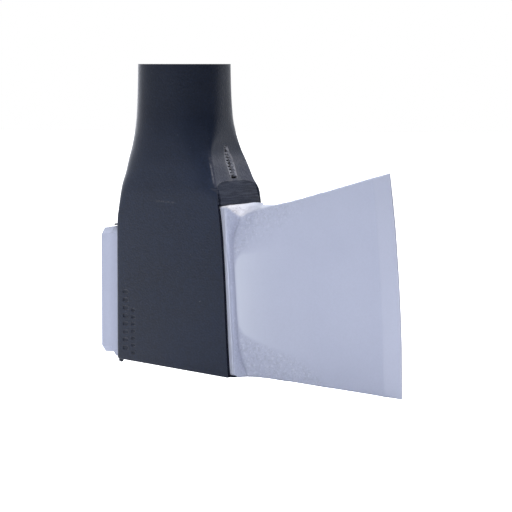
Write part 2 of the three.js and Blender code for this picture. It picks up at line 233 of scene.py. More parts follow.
def capped_loft(name, rings):
    """A closed mesh over rings of equal point counts; shrinking copies close each end."""
    rings = [np.asarray(ring, float) for ring in rings]
    around = len(rings[0])
    here = np.arange(around)
    after = (here + 1) % around
    faces = []
    for low in range(0, (len(rings) - 1) * around, around):
        high = low + around
        faces += np.stack([low + here, low + after, high + after, high + here], 1).tolist()
    parts = [np.concatenate(rings)]
    total = len(parts[0])
    for outer, ring, order in ((0, rings[0], 1), (total - around, rings[-1], -1)):
        centre = ring.mean(0)
        for shrink in (0.93, 0.6, 0.25):
            parts.append(centre + (ring - centre) * shrink)
            quads = np.stack([outer + here, total + here, total + after, outer + after], 1)
            faces += quads[:, ::order].tolist()
            outer = total
            total += around
        parts.append(centre[None])
        fan = np.stack([outer + here, np.full(around, total), outer + after], 1)
        faces += fan[:, ::order].tolist()
        total += 1
    return mesh_object(name, np.concatenate(parts), faces)


def prism(name, outline, half_y, steps=1):
    """A closed prism over an outline of (x, z) points, centred on Y = 0."""
    count = len(outline)
    points = [(x, y, z) for y in np.linspace(-half_y, half_y, steps + 1) for x, z in outline]
    faces = []
    for low in range(0, steps * count, count):
        high = low + count
        for i in range(count):
            j = (i + 1) % count
            faces.append([low + i, low + j, high + j, high + i])
    faces.append(list(range(count))[::-1])
    faces.append([steps * count + i for i in range(count)])
    return mesh_object(name, np.array(points, float), faces)


def boolean(target, tool, operation):
    """Applies a boolean to target and removes the tool."""
    bpy.context.view_layer.update()
    modifier = target.modifiers.new("cut", "BOOLEAN")
    modifier.operation = operation
    modifier.object = tool
    # MANIFOLD can give an almost empty mesh; EXACT then takes over
    for solver in ("MANIFOLD", "EXACT"):
        modifier.solver = solver
        depsgraph = bpy.context.evaluated_depsgraph_get()
        result = bpy.data.meshes.new_from_object(target.evaluated_get(depsgraph))
        if len(result.vertices) >= 8:
            break
    old = target.data
    target.modifiers.clear()
    target.data = result
    bpy.data.meshes.remove(old)
    tool_mesh = tool.data
    bpy.data.objects.remove(tool)
    bpy.data.meshes.remove(tool_mesh)


def cut(target, tool):
    boolean(target, tool, "DIFFERENCE")


def join(target, tool):
    boolean(target, tool, "UNION")


def get_points(obj):
    """Vertex positions in mm."""
    flat_points = np.zeros(len(obj.data.vertices) * 3)
    obj.data.vertices.foreach_get("co", flat_points)
    return flat_points.reshape(-1, 3) / MM


def put_points(obj, points):
    """Moves the vertices to points in mm, raised by LIFT."""
    lifted = (points + [0, 0, LIFT]) * MM
    obj.data.vertices.foreach_set("co", lifted.reshape(-1))
    obj.data.update()


def set_attributes(obj, **values):
    for name, value in values.items():
        attribute = obj.data.attributes.new(name, "FLOAT", "POINT")
        attribute.data.foreach_set("value", np.asarray(value, np.float32))


def shade(obj, sharp_deg):
    obj.data.shade_smooth()
    obj.data.set_sharp_from_angle(angle=math.radians(sharp_deg))
    return obj


def lock_circle(centre_z, radius, count):
    turn = angles(count)
    return np.stack([LOCK_X + radius * np.cos(turn), centre_z + radius * np.sin(turn)], 1)


# ---------------------------------------------------------------- the steel head: measured tables
# (z, x) of the cutting edge
edge_x = table([
    (-7.7, 77.7), (7.6, 77.55), (17, 77.2), (26.3, 76.7), (35.5, 76.05), (44.8, 75.3), (54, 74.3),
    (62.3, 73.25),
])
# (x, z) of the top, from the shoulder to the cutting edge
top_edge = table([
    (16.7, 51.4), (20.5, 51.4), (22.2, 51.3), (22.9, 50.95), (23.6, 49.6), (24.3, 48.5),
    (25, 48.15), (28, 49.6), (32.3, 50.95), (35, 51.7), (37.2, 52.1), (45, 54.15), (58.7, 58.05),
    (66.4, 60.35), (73.3, 62.3),
])
# (x, height of the top's centre line above its sides)
top_crown = table([
    (16.7, 0.05), (21.5, 0.3), (22.9, 0.7), (23.6, 1.9), (24.3, 2.9), (25, 3.2), (28, 2.05),
    (31, 0.95), (32.6, 0.25), (36, 0.15), (73, 0),
])
# (x, height of the underside above the end face)
under_rise = table([
    (16.7, 0.8), (25.5, 0.8), (26.1, 0.15), (27.4, 0.25), (31, 0.45), (55, 0.45), (78, 0.1),
])
# (x, z) boundary of the ground cheek; outside it the forged skin is left
GROUND = np.array([
    (52, 75), (47.5, 57), (45.0, 53.6), (42.3, 48.9), (37.4, 45.3), (34.1, 43.6), (30.8, 41.6),
    (28.0, 39.3), (25.7, 36.9), (24.4, 34.6), (23.8, 31.5), (23.9, 25.8), (24.3, 18.4),
    (25.2, 13.3), (26.9, 10.5), (29.7, 8.9), (34.1, 7.0), (38.0, 5.5), (42.4, 3.9), (46.8, 1.7),
    (51.0, -1.6), (54, -6), (56, -20), (110, -20), (110, 75),
])

# The shoulder rounds into a steep wall that ends in a valley at the blade's root. The valley is
# closest to the shoulder at mid height and opens forward above and below.
WALL_FROM = 21.55
WALL_REACH = 1.35
# (z, extra reach of the wall)
wall_spread = table([
    (-6, 2.3), (-4, 1.95), (0, 1.05), (2, 0.45), (5, 0.12), (8, 0), (39, 0), (42, 0.2), (44, 0.8),
    (46, 1.6), (50, 2.2), (52, 2.3),
])
# (z, half thickness at the foot of the wall)
foot_half = table([
    (-6, 8.0), (-4, 8.2), (0, 8.6), (3, 9.2), (7, 9.9), (13, 10.4), (20, 10.6), (34, 10.6),
    (39, 10.1), (42, 9.5), (44, 9.0), (46, 8.4), (50, 8.2), (52, 8.2),
])
# (z, x without the lean) of two fine creases down the shoulder's sides
back_crease = table([(-6, 21.35), (10, 21.5), (30, 21.6), (36, 21.45), (52, 21.15)])
front_crease = table([
    (-6, 21.9), (10, 21.95), (24, 22.0), (31, 22.05), (38, 21.8), (46, 21.6), (52, 21.5),
])
# (share of the way from root to edge, half thickness of the cheek)
ROOT_CHEEK = 10.6
cheek = table([
    (0, ROOT_CHEEK), (0.025, 9.95), (0.05, 9.35), (0.1, 8.35), (0.15, 7.5), (0.25, 6.35),
    (0.4, 5.0), (0.6, 3.7), (BEVEL_START, BEVEL_HALF), (1.0, BEVEL_HALF),
])


def underside(x):
    return end_face(x) + under_rise(x)


def lean(z):
    """Forward shift of the shoulder's wall, growing downward."""
    return ROOT_SKEW * (SHOULDER_TOP - z)


def wall_x(z, share):
    """X on the shoulder's wall, from its start (share 0) to the blade's root (share 1)."""
    return WALL_FROM + share * (WALL_REACH + wall_spread(z)) + lean(z)


def crease_offsets(x_upright, z):
    """Distances in front of the two wavy creases."""
    wave = 0.07 * np.sin(z * 0.9) + 0.05 * np.sin(z * 2.3 + 1)
    return x_upright - back_crease(z) - wave, x_upright - front_crease(z) - 0.3 * wave


def crease_depth(x_upright, z):
    back_offset, front_offset = crease_offsets(x_upright, z)
    return 0.045 * bell(back_offset, 0.06) + 0.045 * bell(front_offset, 0.07)


# ---------------------------------------------------------------- the steel head: rings
SIDE_POINTS = 190
CAP_POINTS = 44
SETTLE_STEPS = 6


def steel_ring(x_at, half_at, corner, low=underside, high=top_edge, crown=top_crown):
    """One ring of the head: up the -Y side, over the top, down the +Y side and back underneath.

    x_at(z) and half_at(x, z) place the sides; low, high and crown take x. As x and z depend on
    each other, both settle over a few steps. corner is the width of the cut corners.
    """
    ring = []
    up = np.linspace(0, 1, SIDE_POINTS)
    across = np.linspace(1, -1, CAP_POINTS)
    for sign, share, cap_z, cap_crown in ((-1, up, high, crown), (1, up[::-1], low, flat(0))):
        z = share * 50.0
        x = x_at(z)
        for _ in range(SETTLE_STEPS):
            corner_here = np.minimum(corner, half_at(x, z) * 0.45)
            bottom, top = low(x) + corner_here, high(x) - corner_here
            z = bottom + (top - bottom) * share
            x = x_at(z)
        ring.append(np.stack([x, sign * half_at(x, z), z], 1))
        z = np.full(CAP_POINTS, z[-1])
        x = x_at(z)
        for _ in range(SETTLE_STEPS):
            half = half_at(x, z)
            y = sign * (half - np.minimum(corner, half * 0.45)) * across
            z = cap_z(x) + cap_crown(x) * (1 - (y / np.maximum(half, 1e-6)) ** 2)
            x = x_at(z)
        ring.append(np.stack([x, y, z], 1))
    return np.concatenate(ring)


def upright_ring(x, half, low, high, corner):
    return steel_ring(flat(x), flat(half), corner, low, high, flat(0))


def poll_rings():
    """The poll with its rounded face edge, a fillet, and the collar."""
    poll_corner, collar_corner = 1.9, 2.2
    fillet = 0.35
    top_growth = 0.45
    poll_low, poll_high = POLL_Z
    collar_low, collar_high = COLLAR_Z
    collar_x = COLLAR_X[0]
    rings = []

    def add(x, half, low, high, corner=collar_corner):
        rings.append(upright_ring(x, half, flat(low), flat(high), corner))

    for advance, inset in quarter_round(12, POLL_ROUND):
        x = POLL_X + advance
        add(x, POLL_HALF - inset, poll_low + inset, poll_high - inset, poll_corner)
    start, end = POLL_X + POLL_ROUND, collar_x - fillet
    for x in np.linspace(start + 0.3, end, 12):
        grow = rise(x, start, end - start)
        half = POLL_HALF + grow * (COLLAR_HALF - POLL_HALF)
        add(x, half, poll_low, poll_high + top_growth * grow, poll_corner + 0.3 * grow)
    for share in np.linspace(0, 1, 8)[1:]:
        flare = (1 - math.cos(share * math.pi / 2)) * 0.4
        x = end + fillet * share
        add(x, COLLAR_HALF, poll_low - flare * 1.6, poll_high + top_growth + flare * 0.3)
    for advance, inset in quarter_round(6, 0.3):
        add(collar_x + 0.02 + advance, COLLAR_HALF, collar_low + inset, collar_high - inset)
    for x in np.linspace(collar_x + 0.5, COLLAR_X[1], 6):
        add(x, COLLAR_HALF, collar_low, collar_high)
    return rings


def waist_rings():
    return [
        upright_ring(x, WAIST_HALF, lambda x: end_face(x) + WAIST_RISE, flat(WAIST_TOP), 0.7)
        for x in (COLLAR_X[1] + 0.02, -12.0, LOCK_X, 9.0, SHOULDER_X - 0.02)
    ]


def shoulder_rings():
    """The flat shoulder, then the wall down to the blade's root."""
    rings = []
    # (x, share of the lean)
    stations = [(SHOULDER_X, 0), (18.5, 0.5), (20.0, 1), (20.6, 1)]
    stations += [(x, 1) for x in np.arange(20.9, WALL_FROM - 0.02, 0.05)]
    for station, lean_share in stations:
        rings.append(steel_ring(
            lambda z: station + lean_share * lean(z),
            lambda x, z: SHOULDER_HALF - crease_depth(station, z),
            corner=0.55,
        ))

    for share in np.linspace(0, 0.985, 40):
        def half_at(x, z):
            drop = (SHOULDER_HALF - foot_half(z)) * rise(share, 0.16, 0.68)
            valley = 0.10 * bell(share - 0.86, 0.12)
            creases = crease_depth(x - lean(z), z) * (1 - rise(share, 0.3, 0.3))
            return SHOULDER_HALF - drop - valley - creases

        rings.append(steel_ring(lambda z: wall_x(z, share), half_at, corner=0.5))
    return rings


def blade_rings():
    """The hollow cheek and the cutting bevel."""
    shares = np.concatenate([
        np.linspace(0.0, 0.06, 22),
        np.linspace(0.065, BEVEL_START - 0.004, 176),
        [BEVEL_START - 0.001, BEVEL_START + 0.001],
        np.linspace(BEVEL_START + 0.006, 0.985, 22),
        [0.993, 0.998, 1.0],
    ])
    rings = []
    for share in shares:
        def x_at(z):
            root_x = wall_x(z, 1.0)
            return root_x + (edge_x(z) - root_x) * share

        def half_at(x, z):
            if share > BEVEL_START:
                down = (share - BEVEL_START) / (1 - BEVEL_START)
                return flat(BEVEL_HALF + (EDGE_HALF - BEVEL_HALF) * down**0.94)(z)
            # outside the ground cheek the blade thins away from the boundary
            outside = np.clip(-signed_distance(x, z, GROUND), 0, None)
            ease = 0.2 + 4.5 * rise(z, 33.5, 5) * rise(x, 24.2, 3)
            ease = ease + 2.0 * fall(z, 8, 4) * rise(x, 34, 8)
            outside = outside * outside / (outside + ease + 1e-6)
            thinning = (0.10 * outside + 0.010 * outside**2) * (1 - rise(share, 0.55, 0.3))
            leave_root = smooth(share / 0.13)
            root_gap = (ROOT_CHEEK - foot_half(z)) * (1 - leave_root)
            return cheek(share) - root_gap - np.minimum(thinning, 1.9) * leave_root

        rings.append(steel_ring(x_at, half_at, corner=0.45))
    return rings


# ---------------------------------------------------------------- the steel head: surface and masks
def roughen_head(head):
    """Adds the forged skin outside the ground cheek, on the wall, and on the top and underside."""
    points = get_points(head)
    x, y, z = points.T
    wander = fractal(points, 5.0, 31) * 0.45 + fractal(points, 1.4, 37) * 0.2
    outside = np.clip(-signed_distance(x + wander, z, GROUND), 0, None)
    x_upright = x - lean(z)
    on_blade = rise(x_upright, 22.6, 0.5) * fall(x, 71.0, 6.0)
    step_fade = 1 - 0.95 * rise(z, 34, 5) * rise(x, 24.8, 4)
    step = 0.05 * smooth(outside / 0.35) * on_blade * step_fade
    skin = fractal(points, 0.85, 5) * 0.12 + fractal(points, 2.2, 9) * 0.07
    blade_skin = smooth(outside / 0.9) * on_blade
    wall_skin = rise(x_upright, 21.2, 0.4) * fall(x_upright, 24.5, 0.8) * 0.35
    shift = skin * np.maximum(blade_skin, wall_skin) - step
    new_y = y + np.sign(y) * shift * rise(np.abs(y), 0.5, 1.0)

    on_top = rise(z, top_edge(x) - 0.9, 0.8) * rise(x, 17, 1.0) * fall(x, 66, 14.0)
    top_skin = fractal(points, 0.95, 21) * 0.11 + fractal(points, 2.8, 27) * 0.10
    hump = 0.42 * rise(x, 21.6, 1.2) * fall(x, 27.8, 1.2) * rise(y, 1.5, 4.0)
    pits = rise(fractal(points * [1, 0.6, 1], 1.3, 45), 0.25, 0.2)
    pits = pits * bell(x - 21.6 - 0.12 * (y + 2), 0.5) * rise(y, -9, 3.0)
    under = fall(z, underside(x) + 0.7, 0.6) * rise(x, 24, 2.0) * fall(x, 66, 14.0)
    new_z = z + on_top * top_skin + on_top * hump - on_top * pits * 0.25
    new_z = new_z + under * fractal(points, 1.6, 23) * 0.10
    put_points(head, np.stack([x, new_y, new_z], 1))


def mask_head(head):
    """Stores where each look of the steel lies, for its material."""
    points = get_points(head)
    points[:, 2] -= LIFT
    x, y, z = points.T
    above = z - top_edge(x)
    # position along an oblique line towards +X and +Y
    oblique = 0.883 * x + 0.469 * y
    on_front = rise(x, 16.0, 0.5)
    # crest: the near side of the top, where a painted highlight goes
    crest = rise(above, -0.45, 0.35) * on_front * (1 - 0.7 * rise(oblique, 14.5, 10.0))
    crest = crest * fall(x, 36.5, 4.0)
    # far_top: the far side of the top and the poll's top edge, where painted shade goes
    far_side = np.maximum(0.7 * rise(y, 3.0, 9.0), rise(oblique, 21.5, 3.0) * fall(x, 40.0, 8.0))
    far_top = rise(above, -0.5, 0.35) * far_side * on_front
    far_top = np.maximum(far_top, rise(z, POLL_Z[1] - 1.2, 0.9) * (x < -16.0))

    inside = signed_distance(x, z, GROUND)
    blend = 1.0 + 10.0 * rise(z, 34.5, 5) * rise(x, 24.8, 5) + 3.5 * fall(z, 8, 4) * rise(x, 34, 9)
    root_x = wall_x(z, 1.0)
    share = (x - root_x) / (edge_x(z) - root_x)
    # valley: along the foot of the wall at the blade's root, where painted shade goes
    from_valley = np.hypot(x - wall_x(z, 0.88), np.abs(y) - foot_half(z) - 0.15)
    valley = bell(from_valley, 0.75 + 0.85 * rise(z, 35, 7.0))
    # root: the cheek near the blade's root, where a painted highlight goes
    root = np.exp(-np.clip(share, 0, 1) / 0.12) * smooth((inside + 0.1 * blend) / blend)
    x_upright = x - lean(z)
    back_offset, front_offset = crease_offsets(x_upright, z)
    # creases: the two fine creases down the shoulder's sides, where painted shade goes
    creases = 0.45 * bell(back_offset, 0.10) + 0.85 * bell(front_offset - 0.05, 0.11)
    set_attributes(
        head,
        crest=crest,
        far_top=far_top,
        ground=smooth((inside + 0.5 * blend) / blend) * rise(x, 23.4, 0.8),
        bevel=rise(share, BEVEL_START, 0.012),
        valley=valley * fall(above, -0.3, 1.6) * rise(z, -3.5, 5.0),
        root=root * (share > 0.004),
        crease=np.clip(creases, 0, 1) * (np.abs(y) > 10.0),
        # shelf: the shoulder strip beside the handle, where painted light goes
        shelf=fall(x_upright, 22.5, 0.9) * rise(np.abs(y), 11.3, 0.5) * (x > 16),
    )


def build_head():
    rings = poll_rings() + waist_rings() + shoulder_rings() + blade_rings()
    head = capped_loft("head_forging", rings)
    roughen_head(head)
    for centre_z in LOCK_Z:
        cut(head, prism("lock_cut", lock_circle(centre_z + LIFT, LOCK_R, 48), 10))
    mask_head(head)
    return shade(head, sharp_deg=34)


# ---------------------------------------------------------------- the plastic handle: measured tables
# (z, reach of the flattened front in +X)
front_reach = table([
    (0, 24.15), (11, 23.45), (26, 22.65), (41.5, 21.65), (51, 20.6), (54, 20.25), (56.6, 19.9),
    (57.7, 19.5), (58.8, 18.95), (60.4, 18.4), (62.9, 17.6), (66, 16.55), (69, 15.6),
    (71.5, 15.3), (75, 15.33), (81, 15.45), (96, 15.5), (112, 15.3), (130, 14.7), (170, 12.9),
    (210, 12.6), (250, 14.2), (285, 16.4), (310, 19.6), (330, 24.6), (343, 28.2), (351.5, 28.6),
])
# (z, +X reach of the superellipse behind that flat)
body_reach = table([
    (0, 31), (50, 29), (54, 26), (57.6, 23.0), (60.4, 22.4), (62.9, 21.2), (66, 19.3),
    (69.2, 17.9), (72.6, 17.1), (75.2, 16.7), (77.8, 16.35), (80.4, 16.1), (86, 15.8),
    (96, 15.62), (112, 15.4), (130, 14.8), (170, 13.0), (210, 12.7), (250, 14.3), (285, 16.5),
    (310, 19.7), (330, 24.7), (343, 28.3), (351.5, 28.7),
])
# (z, superellipse power of the front half)
body_power = table([
    (0, 40), (48, 30), (54, 12), (57.6, 6.4), (60.4, 4.3), (62.9, 4.0), (66, 3.9), (69.2, 3.5),
    (72.6, 3.0), (75.2, 2.7), (77.8, 2.5), (80.4, 2.4), (96, 2.25), (351, 2.3),
])
# (z, width of the blend between body and flat)
flat_blend = table([
    (0, 0.22), (60, 0.28), (66, 0.4), (70, 0.8), (74, 1.8), (80, 2.6), (96, 3.0), (351, 3.0),
])
# (z, reach of the back in -X)
back_reach = table([
    (0, 17), (44, 17), (47, 16.9), (50.6, 16.65), (54, 16.64), (57, 16.63), (62, 16.25),
    (67, 15.69), (72, 15.04), (80, 14.44), (96, 14.13), (112, 14.17), (130, 14.49), (170, 16),
    (210, 17), (250, 17.1), (285, 14.6), (310, 12.4), (330, 12), (343, 12), (351.5, 11.6),
])
# (z, superellipse power of the back half)
back_power = table([
    (0, 44), (47, 40), (50, 26), (53, 15), (57, 9), (62, 5.3), (65, 4.6), (67.5, 4.1), (70, 3.7),
    (72.6, 3.45), (75, 3.25), (80, 3.05), (96, 2.9), (112, 2.8), (130, 2.6), (170, 2.25),
    (351, 2.2),
])
# (z, half width along Y)
half_width = table([
    (0, PANEL_HALF), (55, PANEL_HALF), (59, 14.4), (63, 14.1), (66, 13.85), (69, 13.5),
    (72.6, 13.2), (75.2, 12.9), (80.4, 12.5), (86, 12.3), (96, 12.2), (130, 11.8), (170, 11.4),
    (210, 11.8), (250, 12.5), (285, 12.3), (310, 12.4), (330, 13.0), (343, 13.4), (351.5, 13.2),
])
# (z, x) of the block's front face, below the ramp
block_face = table([
    (BLOCK_BOTTOM, 20.85), (53.2, 20.65), (54.5, 20.35), (55.8, 20.0), (57.1, 19.6), (58.4, 19.0),
    (59.4, 18.6),
])
# Heights of the hollow's rings; it runs out past the butt
HOLLOW_LEVELS = (
    HOLLOW_Z, 66, 72, 80, 96, 112, 130, 150, 170, 190, 210, 230, 250, 268, 285, 298, 310, 320,
    330, 337, 343, 348, BUTT_Z + 3,
)


def ramp_rim_z(y):
    """Lower edge of the ramp: arched, dropping at both sides."""
    return 59.25 - 1.7 * np.minimum(np.abs(y) / 13.4, 1.2) ** 4


# ---------------------------------------------------------------- the plastic handle: rings
def section(z, inset, count):
    """(x, y) points at height z: front centre over +Y to back centre, then mirrored.

    Points are spread by length plus turning, so corners get more of them.
    """
    z = max(0.0, float(z))
    dense, turn_weight = 2600, 7.0
    angle = np.linspace(0, math.pi, dense + 1)
    front = angle < math.pi / 2
    cosine, sine = np.abs(np.cos(angle)), np.abs(np.sin(angle))
    power = 2 / np.where(front, body_power(z), back_power(z))
    x = np.where(front, body_reach(z) - inset, inset - back_reach(z)) * cosine**power
    y = (half_width(z) - inset) * sine**power
    x = np.where(front, smooth_min(x, front_reach(z) - inset, float(flat_blend(z))), x)
    step_x, step_y = np.diff(x), np.diff(y)
    length = np.hypot(step_x, step_y)
    heading = np.unwrap(np.arctan2(step_y, step_x))
    turn = np.abs(np.diff(heading, prepend=heading[0]))
    turn[length < 1e-7] = 0
    travel = np.concatenate([[0], np.cumsum(length + turn_weight * np.minimum(turn, 0.5))])
    stops = np.linspace(0, travel[-1], count + 1)
    half = np.stack([np.interp(stops, travel, x), np.interp(stops, travel, y)], 1)
    half[[0, -1], 1] = 0
    return np.concatenate([half, half[1:-1][::-1] * [1, -1]])


def handle_ring(z, inset=0.0, count=150):
    """A ring that follows the sloping end face low down and levels out above."""
    outline = section(z, inset, count)
    tilt = 1 - smooth(z / 48.0)
    return np.column_stack([outline, z + tilt * end_face(outline[:, 0])])


def add_seam_and_grip(ring):
    """Raises the mould's parting line, front and back, and the grip's rows of low lozenges."""
    x, y, z = ring.T
    tangent = np.roll(ring, -1, 0) - np.roll(ring, 1, 0)
    length = np.maximum(np.hypot(tangent[:, 0], tangent[:, 1]), 1e-9)
    raised = bell(y, 0.22) * 0.07 * rise(z, 128, 12.0)
    arc = np.concatenate([[0], np.cumsum(np.hypot(np.diff(x), np.diff(y)))])
    from_front = np.minimum(arc, arc[-1] + length[0] / 2 - arc)
    around, upward = from_front / 4.4, z / 6.2
    lozenge = np.abs(np.cos(math.pi * (around + upward)))
    lozenge = lozenge * np.abs(np.cos(math.pi * (around - upward)))
    zone = rise(z, 214, 7.0) * fall(z, 330, 9.0) * rise(np.abs(y), 3.4, 1.6)
    raised = raised + zone * (0.34 * rise(lozenge, 0.18, 0.35) - 0.12)
    ring[:, 0] += tangent[:, 1] / length * raised
    ring[:, 1] -= tangent[:, 0] / length * raised


def shape_block(ring):
    """Sets the block's face just behind the ramp, with a groove against each side panel."""
    x, y, z = ring.T
    near = (z > BLOCK_BOTTOM - 0.6) & (z < 60.2) & (x > 12)
    from_middle = np.abs(y)
    lines = 0.055 * fractal(np.stack([y * 0.22, z * 2.6, z * 0 + 3], 1), 1.0, 77)
    in_block = fall(from_middle, BLOCK_HALF - 0.15, 0.2)
    groove = rise(from_middle, BLOCK_HALF - 0.35, 0.12)
    groove = groove * fall(from_middle, BLOCK_HALF + 0.08, 0.12)
    panel = np.minimum(x, front_reach(z))
    target = (block_face(z) - 0.05 + lines) * in_block + panel * (1 - in_block) - 0.7 * groove
    share = fall(z, ramp_rim_z(y), 0.22) * rise(x, front_reach(z) - 0.8, 0.5)
    ring[:, 0] = np.where(near, x * (1 - share) + target * share, x)


def handle_body():
    rings = [handle_ring(advance, inset) for advance, inset in quarter_round(7, 0.45)]
    levels = np.concatenate([
        np.linspace(1.2, 44, 46), np.arange(44.6, 50.9, 0.6), np.arange(51.2, 62.0, 0.16),
        np.arange(62.0, 74.0, 0.3), np.arange(74.3, 100, 0.9), np.arange(101, 205, 2.0),
        np.arange(205.5, 340, 0.6), np.arange(340.4, 351.0, 0.8),
    ])
    rings += [handle_ring(float(z)) for z in levels]
    rings += [handle_ring(BUTT_Z - below, inset) for inset, below in quarter_round(5, 0.3)]
    for ring in rings:
        add_seam_and_grip(ring)
        shape_block(ring)
    return capped_loft("handle_moulding", rings)


# ---------------------------------------------------------------- the plastic handle: cuts and additions
def cut_head_seat(handle):
    """Hollows the handle, makes room for the head, and adds studs for its lock holes."""
    hollow = [handle_ring(z, WALL + (3 if z == HOLLOW_Z else 0), 48) for z in HOLLOW_LEVELS]
    cut(handle, capped_loft("hollow_cut", hollow))
    back, front = SHOULDER_X - GAP, 40
    outline = [
        (back, end_face(back) + FLOOR), (front, end_face(front) + FLOOR),
        (front, BLOCK_BOTTOM), (back, BLOCK_BOTTOM),
    ]
    cut(handle, prism("shoulder_cut", outline, SHOULDER_HALF + GAP))
    back, front = PANEL_BACK - 2, SHOULDER_X + 2
    outline = [
        (back, end_face(back) + WAIST_RISE - GAP), (front, end_face(front) + WAIST_RISE - GAP),
        (front, WAIST_TOP + GAP), (back, WAIST_TOP + GAP),
    ]
    cut(handle, prism("waist_cut", outline, WAIST_HALF + GAP))
    for centre_z in LOCK_Z:
        join(handle, prism("stud", lock_circle(centre_z, LOCK_R - GAP, 40), WAIST_HALF + 2))


def add_lips(handle):
    """A lip under the shoulder and one over the collar, each with a rounded nose."""
    nose = np.linspace(-math.pi / 2, math.pi / 2, 7)
    back = SHOULDER_X - 1.0
    lip = []
    for share in np.linspace(-1, 1, 25):
        reach = LIP_X - 1.1 * abs(share) ** 10
        end = end_face(reach)
        outline = [(back, end_face(back)), (reach - 0.3, end - 0.06)]
        for angle in nose[1:-1]:
            x = reach - LIP_ROUND + LIP_ROUND * math.cos(angle)
            outline.append((x, end + 0.22 + LIP_ROUND * math.sin(angle)))
        outline += [(reach - 0.3, end + FLOOR), (back, end_face(back) + FLOOR)]
        lip.append([(x, LIP_HALF * share, z) for x, z in outline])
    join(handle, capped_loft("lip", lip))

    bottom = COLLAR_Z[1] + GAP
    outline = [(PANEL_BACK + 1, bottom)]
    for angle in nose:
        x = -18.9 - LIP_ROUND * math.cos(angle)
        outline.append((x, bottom + LIP_ROUND + LIP_ROUND * math.sin(angle)))
    outline.append((PANEL_BACK + 1, bottom + 0.68))
    join(handle, prism("back_lip", outline, 12.4, steps=8))


def add_nubs(handle):
    """A small rounded nub under each back corner of the end face."""
    centre_x, side_y, radius = -16.2, 13.1, 0.75
    turn = angles(20)
    for side in (-1, 1):
        nub = []
        for share in np.linspace(-0.9, 1, 9):
            ring_radius = radius * math.sqrt(max(0.0, 1 - share * share)) + 0.02
            x = centre_x + 1.1 * ring_radius * np.cos(turn)
            y = side * side_y + ring_radius * np.sin(turn)
            z = end_face(centre_x) - 0.35 - 0.8 * share
            nub.append(np.stack([x, y, np.full(len(turn), z)], 1))
        join(handle, capped_loft("nub", nub))


def cut_dashes(handle):
    """Two columns of sunk dashes near the back edge of each side panel."""
    # centre x, first z, pitch, count, width, height
    columns = ((-13.6, 5.0, 2.6, 8, 1.9, 1.15), (-10.75, 3.6, 2.3, 7, 1.35, 0.95))
    turn = angles(24)
    power = 2 / 5.0
    round_x = np.sign(np.cos(turn)) * np.abs(np.cos(turn)) ** power
    round_z = np.sign(np.sin(turn)) * np.abs(np.sin(turn)) ** power
    for side in (-1, 1):
        for centre_x, first_z, pitch, count, width, height in columns:
            for i in range(count):
                dash = []
                # distance out from the panel, growth of the outline
                for out, grow in ((0.5, 1.1), (0.0, 1.04), (-0.32, 0.9)):
                    x = centre_x + width / 2 * round_x * grow
                    z = first_z + pitch * i + height / 2 * round_z * grow
                    y = np.full(len(turn), side * (PANEL_HALF + out))
                    dash.append(np.stack([x, y, z], 1))
                cut(handle, capped_loft("dash", dash))


# Axes on the ramp: down its slope, out of its face, and across towards +Y
RECESS_CENTRE = np.array([RECESS_X, 0, RECESS_Z])
ALONG = np.array([RAMP_RUN, 0, -RAMP_DROP]) / np.hypot(RAMP_RUN, RAMP_DROP)
OUTWARD = np.array([RAMP_DROP, 0, RAMP_RUN]) / np.hypot(RAMP_RUN, RAMP_DROP)
ACROSS = np.cross(OUTWARD, ALONG)


def on_ramp(along, across, out):
    outer = np.multiply.outer
    return RECESS_CENTRE + outer(along, ALONG) + outer(across, ACROSS) + outer(out, OUTWARD)


def cut_recess(handle):
    """The boat-shaped recess, the nine ribs inside it and the notch near its lower end."""
    share = np.linspace(0.0, 1, 40)
    swell = np.sin(np.minimum(1, share / 0.5) * math.pi / 2)
    width = RECESS_HALF * (RECESS_END_SHARE + (1 - RECESS_END_SHARE) * swell)
    width = width * np.minimum(1, share / 0.04 + 0.3) * (1 - RECESS_TAPER * rise(share, 0.6, 0.4))
    place = RECESS_START + RECESS_LENGTH * share
    along = np.concatenate([place, place[::-1]])
    across = np.concatenate([width, -width[::-1]])
    # distance out of the face, growth of the outline
    stations = ((1.6, 1.10), (0.12, 1.07), (0.0, 1.0), (-0.35, 0.93), (-0.75, 0.84))
    rings = [on_ramp(along * (1 + (grow - 1) * 0.35), across * grow, out) for out, grow in stations]
    cut(handle, capped_loft("boat", rings))

    for i in range(9):
        rib_at = -4.3 + 1.02 * i
        reach = np.interp(rib_at, place, width) * 0.93 + 0.1
        rib = []
        for side in np.linspace(-1, 1, 9):
            top = -0.30 - 0.10 * side * side
            rib_along = np.array([-0.36, -0.26, -0.12, 0.12, 0.26, 0.36])
            rib_out = [-1.1, top - 0.12, top, top, top - 0.12, -1.1]
            rib.append(on_ramp(rib_at + 0.22 * side + rib_along, side * reach, rib_out))
        join(handle, capped_loft("rib", rib))

    turn = angles(24)
    notch = [
        on_ramp(NOTCH_AT + 0.33 * grow * np.sin(turn), 2.1 * grow * np.cos(turn), out)
        for out, grow in ((0.9, 1.0), (-0.2, 1.0), (-1.5, 0.9))
    ]
    cut(handle, capped_loft("notch", notch))


